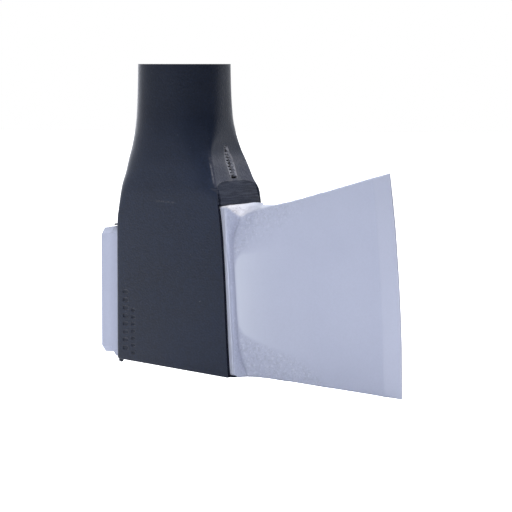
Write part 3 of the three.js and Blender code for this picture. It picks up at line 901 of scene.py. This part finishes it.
def mask_handle(handle, points):
    """Stores where each look of the plastic lies, for its material."""
    x, y, z = points.T
    side = np.abs(y)
    rim = ramp_rim_z(y)
    from_centre = points - RECESS_CENTRE
    along, out = from_centre @ ALONG, from_centre @ OUTWARD
    across = np.abs(from_centre @ ACROSS)
    slot = rise(side, BLOCK_HALF - 0.55, 0.12) * fall(side, BLOCK_HALF + 0.12, 0.1)
    slot = slot * fall(z, 57.4, 0.6) * (z > 51) * (x > 15)
    around = np.hypot(np.maximum(np.abs(along) - 5.2, 0) * 0.9, across)
    block = rise(rim - z, 0, 0.1) * rise(z, 50.5, 1.0) * rise(x, 17.6, 0.5) * fall(side, 14.3, 0.2)
    in_recess = (out < -0.12) & (out > -1.6) & (across < 2.6) & (np.abs(along) < 6.2)
    in_notch = (out < -0.25) & (out > -1.9) & (across < 2.4) & (np.abs(along - NOTCH_AT) < 0.4)
    set_attributes(
        handle,
        gap=slot * np.where(y > 0, 0.35, 1.0),
        halo=bell(around - 2.9, 1.3) * rise(x, 12, 1),
        ramp=rise(x, front_reach(z) - 0.9, 0.6) * rise(z - rim, -0.06, 0.1) * fall(z, 71, 8),
        block=block,
        recess=in_recess & (along < 4.6) & (x > 12),
        notch=in_notch & (x > 12),
    )


def build_handle():
    handle = handle_body()
    cut_head_seat(handle)
    add_lips(handle)
    add_nubs(handle)
    cut_dashes(handle)
    cut_recess(handle)
    points = get_points(handle)
    put_points(handle, points)
    mask_handle(handle, points)
    return shade(handle, sharp_deg=32)


# ---------------------------------------------------------------- the plug in the butt
def build_plug():
    """A spigot inside the handle under a domed cap with a shallow dish."""
    spigot = WALL + GAP
    bottom = BUTT_Z - PLUG_DEPTH
    base = BUTT_Z + GAP
    rim = 0.05  # inset of the cap from the handle's outline
    # (z, inset)
    stations = [
        (bottom, spigot + 0.8), (bottom + 0.5, spigot + 0.4), (bottom + 1.5, spigot),
        (base - 6, spigot), (base - 0.02, spigot),
    ]
    stations += [(base + advance, rim + inset) for advance, inset in quarter_round(5, 0.25)]
    dome = PLUG_TOP - base - 0.8
    stations += [(PLUG_TOP - dome * fell, rim + 2.6 * inward) for inward, fell in quarter_round(18, 1)]
    stations += [
        (PLUG_TOP, 4.2), (PLUG_TOP - 0.05, 4.5), (PLUG_TOP - 0.5, 4.8), (PLUG_TOP - 0.55, 5.1),
        (PLUG_TOP - 0.55, 7.0),
    ]
    rings = []
    for z, inset in stations:
        outline = section(min(z, BUTT_Z), inset, 90)
        rings.append(np.column_stack([outline, np.full(len(outline), z)]))
    plug = capped_loft("butt_stopper", rings)
    put_points(plug, get_points(plug))
    return shade(plug, sharp_deg=30)


# ---------------------------------------------------------------- shader helpers
def set_inputs(node, inputs):
    """Sets inputs by index or name; each is a value, a socket, or a node's first output."""
    for key, value in inputs.items():
        if isinstance(value, bpy.types.Node):
            value = value.outputs[0]
        if isinstance(value, bpy.types.NodeSocket):
            node.id_data.links.new(value, node.inputs[key])
        else:
            node.inputs[key].default_value = value


def add_node(tree, kind, inputs={}, **settings):
    node = tree.nodes.new("ShaderNode" + kind)
    for key, value in settings.items():
        setattr(node, key, value)
    set_inputs(node, inputs)
    return node


def empty_tree(owner, output_kind):
    """The owner's node tree with nothing but its output node, and that node."""
    owner.use_nodes = True
    tree = owner.node_tree
    tree.nodes.clear()
    return tree, add_node(tree, output_kind)


class Surface:
    """A Principled material built up in coats of colour and layers of relief."""

    def __init__(self, name, cloud_scale, dark, light, edge_radius):
        self.material = bpy.data.materials.new(name)
        self.tree, output = empty_tree(self.material, "OutputMaterial")
        self.principled = add_node(self.tree, "BsdfPrincipled")
        set_inputs(output, {0: self.principled})
        self.position = add_node(self.tree, "TexCoord").outputs["Object"]
        self.masks = {}
        clouds = self.speckle(scale=cloud_scale, detail=4, rough=0.55, over=(0.3, 0.7))
        self.colour = self.mix_colour(clouds, dark, light)
        # edge: near 1 where the bevelled normal turns away from the surface's own
        self.normal = add_node(
            self.tree, "Bevel", {"Radius": edge_radius}, samples=4
        ).outputs[0]
        own = add_node(self.tree, "NewGeometry").outputs["Normal"]
        facing = add_node(
            self.tree, "VectorMath", {0: self.normal, 1: own}, operation="DOT_PRODUCT"
        ).outputs["Value"]
        gain = 3.0
        self.edge = self.calc("MULTIPLY", self.calc("SUBTRACT", 1.0, facing), gain, clamp=True)

    def mask(self, name):
        """A vertex attribute, read through one shared node."""
        if name not in self.masks:
            node = add_node(self.tree, "Attribute", attribute_name=name)
            self.masks[name] = node.outputs["Fac"]
        return self.masks[name]

    def split(self, vector):
        return list(add_node(self.tree, "SeparateXYZ", {0: vector}).outputs)

    def noise(self, scale, detail=3.0, rough=0.6, stretch=None):
        vector = self.position
        if stretch:
            vector = add_node(self.tree, "Mapping", {"Vector": vector, "Scale": stretch})
        inputs = {"Scale": scale, "Detail": detail, "Roughness": rough, "Vector": vector}
        return add_node(self.tree, "TexNoise", inputs).outputs[0]

    def remap(self, value, over, to=(0.0, 1.0)):
        inputs = dict(enumerate((value, *over, *to)))
        return add_node(self.tree, "MapRange", inputs, clamp=True).outputs[0]

    def speckle(self, over, to=(0.0, 1.0), **noise):
        return self.remap(self.noise(**noise), over, to)

    def calc(self, operation, *values, clamp=False):
        inputs = dict(enumerate(values))
        node = add_node(self.tree, "Math", inputs, operation=operation, use_clamp=clamp)
        return node.outputs[0]

    def product(self, first, *others):
        for other in others:
            first = self.calc("MULTIPLY", first, other)
        return first

    def distance(self, value):
        return self.calc("ABSOLUTE", value)

    def invert(self, mask):
        return self.calc("SUBTRACT", 1.0, mask, clamp=True)

    def mix_colour(self, share, first, second):
        first, second = ((*v, 1) if isinstance(v, tuple) else v for v in (first, second))
        inputs = {0: share, 6: first, 7: second}
        return add_node(self.tree, "Mix", inputs, data_type="RGBA", clamp_factor=True).outputs[2]

    def mix_value(self, share, first, second):
        inputs = {0: share, 2: first, 3: second}
        return add_node(self.tree, "Mix", inputs, data_type="FLOAT").outputs[0]

    def coat(self, *masks, colour, amount=None):
        """Lays a colour over what is there, where all the masks meet."""
        if amount is not None:
            masks = (*masks, amount)
        self.colour = self.mix_colour(self.product(*masks), self.colour, colour)

    def relief(self, height, strength, distance):
        inputs = {
            "Strength": strength, "Distance": distance, "Height": height, "Normal": self.normal
        }
        self.normal = add_node(self.tree, "Bump", inputs).outputs[0]

    def finish(self, roughness, specular, **others):
        set_inputs(self.principled, {
            "Base Color": self.colour, "Roughness": roughness, "Specular IOR Level": specular,
            "Normal": self.normal, **others,
        })
        return self.material


# ---------------------------------------------------------------- steel
def steel_material():
    s = Surface(
        "blasted_steel", cloud_scale=38, edge_radius=0.0004,
        dark=(0.455, 0.490, 0.630), light=(0.480, 0.515, 0.655),
    )
    ground, bevel, crest = s.mask("ground"), s.mask("bevel"), s.mask("crest")
    x, _, z = s.split(s.position)
    fine = s.noise(scale=1700)
    s.coat(s.remap(fine, over=(0.40, 0.66), to=(0.0, 0.16)), colour=(0.37, 0.395, 0.51))

    # forged skin, from the shoulder forward
    skin = s.calc("MULTIPLY", s.invert(ground), s.invert(bevel), clamp=True)
    skin = s.product(skin, s.calc("GREATER_THAN", x, 0.016))
    pits = s.noise(scale=1500, detail=4, rough=0.65)
    s.coat(skin, colour=(0.44, 0.47, 0.59), amount=0.10)
    dark_pits = s.remap(pits, over=(0.48, 0.62), to=(0.0, 0.42))
    s.coat(skin, dark_pits, colour=(0.33, 0.355, 0.45))
    glints = s.speckle(scale=1150, over=(0.54, 0.66), to=(0.0, 0.40))
    s.coat(skin, glints, colour=(0.66, 0.69, 0.80))

    # painted highlight: the cheek is lighter near its root, where it turns towards the light
    s.coat(s.mask("root"), colour=(0.63, 0.67, 0.78), amount=0.80)
    # painted light on the shoulder strip beside the handle, making up for the panel's shade
    s.coat(s.mask("shelf"), colour=(0.68, 0.72, 0.87), amount=0.85)
    # painted shade in the valley at the blade's root
    s.coat(s.mask("valley"), colour=(0.27, 0.285, 0.41), amount=0.34)
    # painted shade in the two fine creases
    s.coat(s.mask("crease"), colour=(0.27, 0.285, 0.40), amount=0.66)
    s.coat(bevel, colour=(0.53, 0.560, 0.69), amount=0.20)
    # the upper part of the blade is darker
    high = s.remap(z, over=(0.030, 0.056), to=(0.0, 0.20))
    s.coat(high, s.remap(x, over=(0.030, 0.048)), colour=(0.33, 0.36, 0.46))
    # painted highlight: the top, lit from above, is made lighter
    s.coat(crest, colour=(0.76, 0.75, 0.80), amount=0.95)
    crest_pits = s.remap(pits, over=(0.52, 0.62), to=(0.0, 0.60))
    s.coat(crest, crest_pits, colour=(0.36, 0.35, 0.43))
    # painted shade on the far side of the top and on the poll's top edge
    s.coat(s.mask("far_top"), colour=(0.34, 0.365, 0.45), amount=0.62)
    s.coat(s.edge, colour=(0.62, 0.64, 0.73), amount=0.28)

    s.relief(s.noise(scale=4200, detail=2, rough=0.5), strength=0.12, distance=0.00004)
    s.relief(fine, strength=0.22, distance=0.00008)
    streaks = s.noise(scale=300, stretch=(9.0, 1.0, 0.5))
    s.relief(s.product(streaks, ground), strength=0.10, distance=0.00008)
    s.relief(s.product(pits, skin), strength=0.45, distance=0.00016)
    roughness = s.speckle(scale=120, detail=4, over=(0.25, 0.75), to=(0.50, 0.62))
    bevel_roughness = 0.42
    return s.finish(
        roughness=s.mix_value(bevel, roughness, bevel_roughness), specular=0.45, Metallic=0.22
    )


# ---------------------------------------------------------------- plastics
def start_plastic(name, colour):
    """Clouded, speckled plastic with rubbed edges, plus its roughness."""

    def tone(factor):
        return tuple(channel * factor for channel in colour)

    s = Surface(name, cloud_scale=45, edge_radius=0.00045, dark=tone(0.82), light=tone(1.22))
    fibres = s.speckle(
        scale=420, rough=0.65, stretch=(1.0, 1.0, 0.22), over=(0.55, 0.72), to=(0.0, 0.22)
    )
    s.coat(fibres, colour=tone(1.7))
    grains = s.speckle(scale=2300, detail=2, rough=0.5, over=(0.42, 0.66), to=(0.0, 0.45))
    s.coat(grains, colour=tone(2.1))
    dust = s.speckle(scale=900, detail=2, rough=0.5, over=(0.75, 0.78))
    s.coat(dust, colour=(0.16, 0.165, 0.18), amount=0.32)
    wear = s.speckle(scale=150, over=(0.4, 0.62), to=(0.12, 0.62))
    s.coat(s.edge, wear, colour=(0.085, 0.088, 0.105))
    return s, s.speckle(scale=90, detail=4, over=(0.25, 0.75), to=(0.38, 0.48))


def finish_plastic(s, roughness):
    s.relief(s.noise(scale=1500), strength=0.75, distance=0.00016)
    s.relief(s.noise(scale=420, detail=4), strength=0.16, distance=0.00018)
    return s.finish(roughness=roughness, specular=0.41, IOR=1.5)


def coat_ramp_and_block(s, z):
    ramp, block = s.mask("ramp"), s.mask("block")
    # painted sheen: the ramp, tilted up towards the light above, is made lighter
    s.coat(ramp, colour=(0.030, 0.034, 0.057), amount=0.8)
    pale = s.speckle(scale=1250, over=(0.50, 0.64), to=(0.0, 0.5))
    s.coat(ramp, pale, colour=(0.075, 0.080, 0.105))
    # border: mask * (1 - mask) peaks half way across the ramp mask's soft edge, at 1/4
    to_one = 4.0
    border = s.product(
        ramp, s.calc("SUBTRACT", 1.0, ramp), to_one,
        s.remap(z, over=(0.0585, 0.0600)), s.remap(z, over=(0.0640, 0.0680), to=(1.0, 0.0)),
    )
    # painted highlight along the ramp's side border, broken into specks
    border_specks = s.speckle(scale=700, over=(0.4, 0.6), to=(0.15, 0.75))
    s.coat(border, border_specks, colour=(0.16, 0.162, 0.19))
    # painted shade: the block's upright face is made darker
    s.coat(block, colour=(0.0050, 0.0088, 0.0235), amount=0.8)


def coat_recess(s, x, y, z):
    """Pale mottled floor, outline with painted highlight, notch in painted shade; also roughens the
    floor.
    """
    recess, halo = s.mask("recess"), s.mask("halo")
    # painted highlight: a lighter band round the recess and bright edges on its rim
    s.coat(halo, s.mask("ramp"), colour=(0.085, 0.087, 0.10), amount=0.45)
    s.coat(halo, s.edge, colour=(0.30, 0.30, 0.33), amount=0.9)
    s.coat(recess, colour=(0.235, 0.245, 0.295))
    centre = s.remap(s.distance(y), over=(0.0003, 0.0012), to=(1.0, 0.0))
    blots = s.speckle(scale=620, rough=0.65, over=(0.40, 0.47), to=(0.0, 0.96))
    s.coat(recess, centre, blots, colour=(0.004, 0.004, 0.009))
    blotch = s.noise(scale=1300, detail=4, rough=0.7)
    dark = s.remap(blotch, over=(0.52, 0.60), to=(0.0, 0.7))
    s.coat(recess, dark, colour=(0.010, 0.010, 0.014))
    bright = s.speckle(scale=1900, over=(0.54, 0.62), to=(0.0, 0.8))
    s.coat(recess, bright, colour=(0.34, 0.34, 0.36))

    # the recess outline again, from the same dimensions as its mesh
    run = s.product(s.calc("SUBTRACT", x, RECESS_X * MM), RAMP_RUN)
    drop = s.product(s.calc("SUBTRACT", z, (RECESS_Z + LIFT) * MM), RAMP_DROP)
    slide = s.calc("ADD", s.calc("SUBTRACT", run, drop), -RECESS_START * MM)
    share = s.calc("DIVIDE", slide, RECESS_LENGTH * MM)
    swell = s.calc("MINIMUM", s.product(share, 2.0), 1.0)
    swell = s.calc("SINE", s.product(swell, math.pi / 2))
    swell = s.calc("MULTIPLY_ADD", swell, 1 - RECESS_END_SHARE, RECESS_END_SHARE)
    full, tapered = RECESS_HALF * MM, RECESS_HALF * (1 - RECESS_TAPER) * MM
    width = s.product(swell, s.remap(share, over=(0.6, 1.0), to=(full, tapered)))
    from_line = s.distance(s.calc("SUBTRACT", s.distance(y), width))
    line = s.remap(from_line, over=(0.00008, 0.00034), to=(1.0, 0.0))
    start, end = s.remap(share, over=(0.0, 0.05)), s.remap(share, over=(0.97, 1.0), to=(1.0, 0.0))
    line = s.product(line, s.product(start, end), s.calc("GREATER_THAN", x, 0.012))
    # painted highlight along the recess outline, broken into specks
    outline_specks = s.speckle(scale=1000, over=(0.38, 0.58), to=(0.2, 0.85))
    s.coat(line, outline_specks, colour=(0.40, 0.40, 0.45))
    # painted shade: the notch is coloured near black
    s.coat(s.mask("notch"), colour=(0.0008, 0.0008, 0.0015))
    s.relief(s.product(blotch, recess), strength=1.0, distance=0.0006)


def coat_scuff(s, x, y, z):
    """A faint, slightly tilted scuff across the -Y side panel."""
    offset_x, centre_x = -0.0, 0.0015
    slope, height = -0.06, 0.0530
    from_middle = s.calc("SUBTRACT", s.calc("SUBTRACT", x, offset_x), centre_x)
    from_line = s.calc("SUBTRACT", z, s.calc("MULTIPLY_ADD", x, slope, height))
    s.coat(
        s.remap(s.distance(from_line), over=(0.0, 0.00045), to=(1.0, 0.0)),
        s.remap(s.distance(from_middle), over=(0.0025, 0.0042), to=(1.0, 0.0)),
        s.speckle(scale=1500, over=(0.42, 0.6), to=(0.1, 0.9)),
        s.calc("LESS_THAN", y, 0.0),
        colour=(0.10, 0.103, 0.115), amount=0.45,
    )


def handle_material():
    s, roughness = start_plastic("glass_filled_nylon", (0.0058, 0.0112, 0.0280))
    ramp, block, recess = s.mask("ramp"), s.mask("block"), s.mask("recess")
    x, y, z = s.split(s.position)
    geometry = add_node(s.tree, "NewGeometry")
    coat_ramp_and_block(s, z)
    coat_recess(s, x, y, z)

    # deep shade in the slots beside the block and on narrow front-facing walls below it
    walls = s.product(
        s.calc("GREATER_THAN", s.split(geometry.outputs["True Normal"])[0], 0.80),
        s.calc("GREATER_THAN", s.distance(y), 0.0131),
        s.calc("LESS_THAN", z, 0.0523),
        s.calc("GREATER_THAN", x, 0.015),
    )
    gap = s.calc("MAXIMUM", walls, s.mask("gap"))
    s.coat(gap, colour=(0.0012, 0.0016, 0.0085), amount=0.92)

    # painted shade makes the neck darker than the panels; painted rim highlight where its back turns
    # from the eye
    black = (0.001, 0.0015, 0.003)
    normal_x = s.split(geometry.outputs["Normal"])[0]
    neck = s.product(
        s.remap(z, over=(0.063, 0.080)), s.remap(z, over=(0.12, 0.20), to=(1.0, 0.3))
    )
    s.coat(neck, colour=black, amount=0.42)
    turned = add_node(s.tree, "LayerWeight", {"Blend": 0.5}).outputs["Facing"]
    rim_highlight_power = 4.0
    # painted rim highlight, stronger where the surface turns from the eye
    s.coat(
        s.calc("POWER", turned, rim_highlight_power),
        s.remap(normal_x, over=(-0.25, 0.25), to=(1.0, 0.08)),
        s.invert(s.calc("MAXIMUM", ramp, block)),
        colour=(0.80, 0.82, 0.90), amount=0.62,
    )
    # painted shade where the neck and ramp face +X
    front = s.product(
        s.remap(normal_x, over=(0.1, 0.6)), s.remap(z, over=(0.060, 0.070)), s.invert(recess)
    )
    s.coat(front, colour=black, amount=0.25)

    # painted shade: the block darkens towards +Y; it also carries fine level lines
    darker = s.remap(y, over=(0.0, 0.011), to=(0.0, 0.42))
    s.coat(block, darker, colour=(0.002, 0.0035, 0.009))
    lines = s.noise(scale=900, stretch=(0.15, 0.15, 2.4))
    pale_lines = s.remap(lines, over=(0.46, 0.62), to=(0.0, 0.75))
    s.coat(block, pale_lines, colour=(0.030, 0.036, 0.058))
    s.relief(s.product(lines, block), strength=0.8, distance=0.0003)
    coat_scuff(s, x, y, z)

    # each region pulls the roughness towards its own value
    ramp_roughness, block_roughness, recess_roughness = 0.46, 0.66, 0.26
    roughness = s.mix_value(ramp, roughness, ramp_roughness)
    roughness = s.mix_value(block, roughness, block_roughness)
    roughness = s.mix_value(recess, roughness, recess_roughness)

    # specular level falls towards the front, and further on the neck, the front and in the gaps
    neck_change, front_change, gap_specular = -0.36, -0.22, 0.02
    specular = s.product(
        s.remap(x, over=(-0.017, 0.023), to=(0.54, 0.38)),
        s.calc("MULTIPLY_ADD", neck, neck_change, 1.0),
        s.calc("MULTIPLY_ADD", front, front_change, 1.0),
    )
    specular = s.mix_value(gap, specular, gap_specular)
    material = finish_plastic(s, roughness)
    set_inputs(s.principled, {"Specular IOR Level": specular})
    return material


def plug_material():
    return finish_plastic(*start_plastic("plug_nylon", (0.0060, 0.0090, 0.0190)))


# ---------------------------------------------------------------- build the object
steel = steel_material()
handle_plastic = handle_material()
plug_plastic = plug_material()

head = build_head()
handle = build_handle()
plug = build_plug()
PIECES = (
    (head, steel, "head", "steel"),
    (handle, handle_plastic, "handle_shell", "handle_plastic"),
    (plug, plug_plastic, "butt_plug", "plug_plastic"),
)
for piece, material, node_name, slot_name in PIECES:
    piece.data.materials.clear()
    piece.data.materials.append(material)
    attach(piece, "root")
    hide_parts(node_name)
for _, material, node_name, _ in PIECES:
    cad_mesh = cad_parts[node_name].data
    cad_mesh.materials.clear()
    cad_mesh.materials.append(material)


# ---------------------------------------------------------------- camera (metres)
def direction(azimuth_deg, elevation_deg):
    """Unit vector; azimuth 0 is -Y and 90 is +X."""
    azimuth, elevation = math.radians(azimuth_deg), math.radians(elevation_deg)
    level = math.cos(elevation)
    return Vector((math.sin(azimuth) * level, -math.cos(azimuth) * level, math.sin(elevation)))


CAMERA_AZIMUTH = 28.0
CAMERA_DISTANCE = 0.700
CAMERA_RIGHT = 0.02330065
CAMERA_UP = 0.03454248
SENSOR_MM = 36
LENS_MM = 150.609375

to_camera = direction(CAMERA_AZIMUTH, elevation_deg=4.0)
right = direction(CAMERA_AZIMUTH + 90, elevation_deg=0)
up = to_camera.cross(right)
camera_data = bpy.data.cameras.new("camera")
camera_data.sensor_width = SENSOR_MM
camera_data.lens = LENS_MM
camera_data.clip_start = 0.01
camera_data.clip_end = 50
camera = add_object("camera", camera_data)
camera.rotation_mode = "QUATERNION"
camera.location = to_camera * CAMERA_DISTANCE + right * CAMERA_RIGHT + up * CAMERA_UP
camera.rotation_quaternion = Matrix((right, up, to_camera)).transposed().to_quaternion()
bpy.context.scene.camera = camera


# ---------------------------------------------------------------- floor and flag card
def stage_plane(name, corners):
    mesh = bpy.data.meshes.new(name)
    mesh.from_pydata([tuple(corner) for corner in corners], [], [(0, 1, 2, 3)])
    obj = add_object(name, mesh)
    return obj


def build_floor():
    """A pale floor that glows to the camera and is clear from below."""
    half, floor_z = 6, -0.0078
    corners = [(x * half, y * half, floor_z) for x, y in ((-1, -1), (1, -1), (1, 1), (-1, 1))]
    floor = stage_plane("floor", corners)
    material = bpy.data.materials.new("pale_floor")
    tree, output = empty_tree(material, "OutputMaterial")
    diffuse = add_node(tree, "BsdfDiffuse", {"Color": (0.80, 0.80, 0.81, 1)})
    glow = add_node(tree, "Emission", {"Color": (1, 1, 1, 1), "Strength": 0.98})
    glowing = add_node(tree, "AddShader", {0: diffuse, 1: glow})
    to_eye = add_node(tree, "LightPath").outputs["Is Camera Ray"]
    above = add_node(tree, "MixShader", {0: to_eye, 1: diffuse, 2: glowing})
    from_below = add_node(tree, "NewGeometry").outputs["Backfacing"]
    clear = add_node(tree, "BsdfTransparent")
    set_inputs(output, {0: add_node(tree, "MixShader", {0: from_below, 1: above, 2: clear})})
    floor.data.materials.append(material)


def build_flag():
    """A white card close to the lens, over the top band of the view and clear from afar."""
    reach = 0.05  # from the lens
    half_wide, tall = 0.012, 0.004
    band_start = 0.75  # card's lower edge, as a share of half the sensor width
    visible_within = 0.08
    centre = camera.location - to_camera * reach
    low = band_start * (SENSOR_MM / 2) / LENS_MM * reach
    high = low + tall
    sides = ((-half_wide, low), (half_wide, low), (half_wide, high), (-half_wide, high))
    flag = stage_plane("lens_flag", [centre + right * x + up * y for x, y in sides])
    material = bpy.data.materials.new("flag_white")
    tree, output = empty_tree(material, "OutputMaterial")
    white = add_node(tree, "Emission", {"Color": (1, 1, 1, 1)})
    clear = add_node(tree, "BsdfTransparent")
    distance = add_node(tree, "CameraData").outputs["View Distance"]
    near = add_node(tree, "Math", {0: distance, 1: visible_within}, operation="LESS_THAN")
    set_inputs(output, {0: add_node(tree, "MixShader", {0: near, 1: clear, 2: white})})
    flag.data.materials.append(material)
    for ray in ("diffuse", "glossy", "shadow", "transmission"):
        setattr(flag, "visible_" + ray, False)


# ---------------------------------------------------------------- world and lights
def build_world():
    """White to the camera; as light, bright opposite the camera, with soft boxes around."""
    world = bpy.data.worlds.new("studio")
    bpy.context.scene.world = world
    tree, output = empty_tree(world, "OutputWorld")
    look = add_node(tree, "TexCoord").outputs["Generated"]
    look_z = add_node(tree, "SeparateXYZ", {0: look}).outputs["Z"]

    def towards(target):
        inputs = {0: look, 1: tuple(target)}
        return add_node(tree, "VectorMath", inputs, operation="DOT_PRODUCT").outputs["Value"]

    def ease(value, over, to):
        inputs = dict(enumerate((value, *over, *to)))
        return add_node(tree, "MapRange", inputs, interpolation_type="SMOOTHSTEP")

    def combine(operation, first, second):
        return add_node(tree, "Math", {0: first, 1: second}, operation=operation)

    behind = ease(towards(to_camera), over=(-0.95, -0.34), to=(1.85, 0.06))
    dome = ease(look_z, over=(0.35, 0.95), to=(0.0, 0.7))
    left = direction(azimuth_deg=-70, elevation_deg=0)
    left_box = ease(towards(left), over=(0.52, 1.0), to=(0.0, 0.95))
    left_fade = ease(look_z, over=(-0.04, 0.22), to=(0.25, 1.0))
    sky = ease(look_z, over=(0.0, 0.24), to=(0.0, 0.075))
    level = combine("ADD", behind, dome)
    level = combine("ADD", level, combine("MULTIPLY", left_box, left_fade))
    level = combine("ADD", level, sky)
    light = add_node(tree, "Background", {"Color": (0.94, 0.96, 1.0, 1), "Strength": level})
    backdrop = add_node(tree, "Background", {"Color": (1, 1, 1, 1), "Strength": 1.0})
    to_eye = add_node(tree, "LightPath").outputs["Is Camera Ray"]
    set_inputs(output, {0: add_node(tree, "MixShader", {0: to_eye, 1: light, 2: backdrop})})


def area_light(name, azimuth_deg, elevation_deg, size, power):
    """A square light 1 m from the head, turned to it and unseen in reflections."""
    distance = 1.0
    target = Vector((0.02, 0, 0.05))
    towards = direction(azimuth_deg, elevation_deg)
    data = bpy.data.lights.new(name, "AREA")
    data.shape = "RECTANGLE"
    data.size = size
    data.size_y = size
    data.energy = power
    light = add_object(name, data)
    light.location = target + towards * distance
    light.rotation_mode = "QUATERNION"
    light.rotation_quaternion = towards.to_track_quat("Z", "Y")
    light.visible_glossy = False


build_floor()
build_flag()
build_world()
area_light("key", azimuth_deg=4, elevation_deg=38, size=0.6, power=1.75)
area_light("high_right", azimuth_deg=66, elevation_deg=40, size=0.6, power=2.85)
area_light("overhead", azimuth_deg=-165, elevation_deg=74, size=0.8, power=11.5)

view = bpy.context.scene.view_settings
view.view_transform = "Standard"
view.look = "None"
view.exposure = 0.0
view.gamma = 1.0
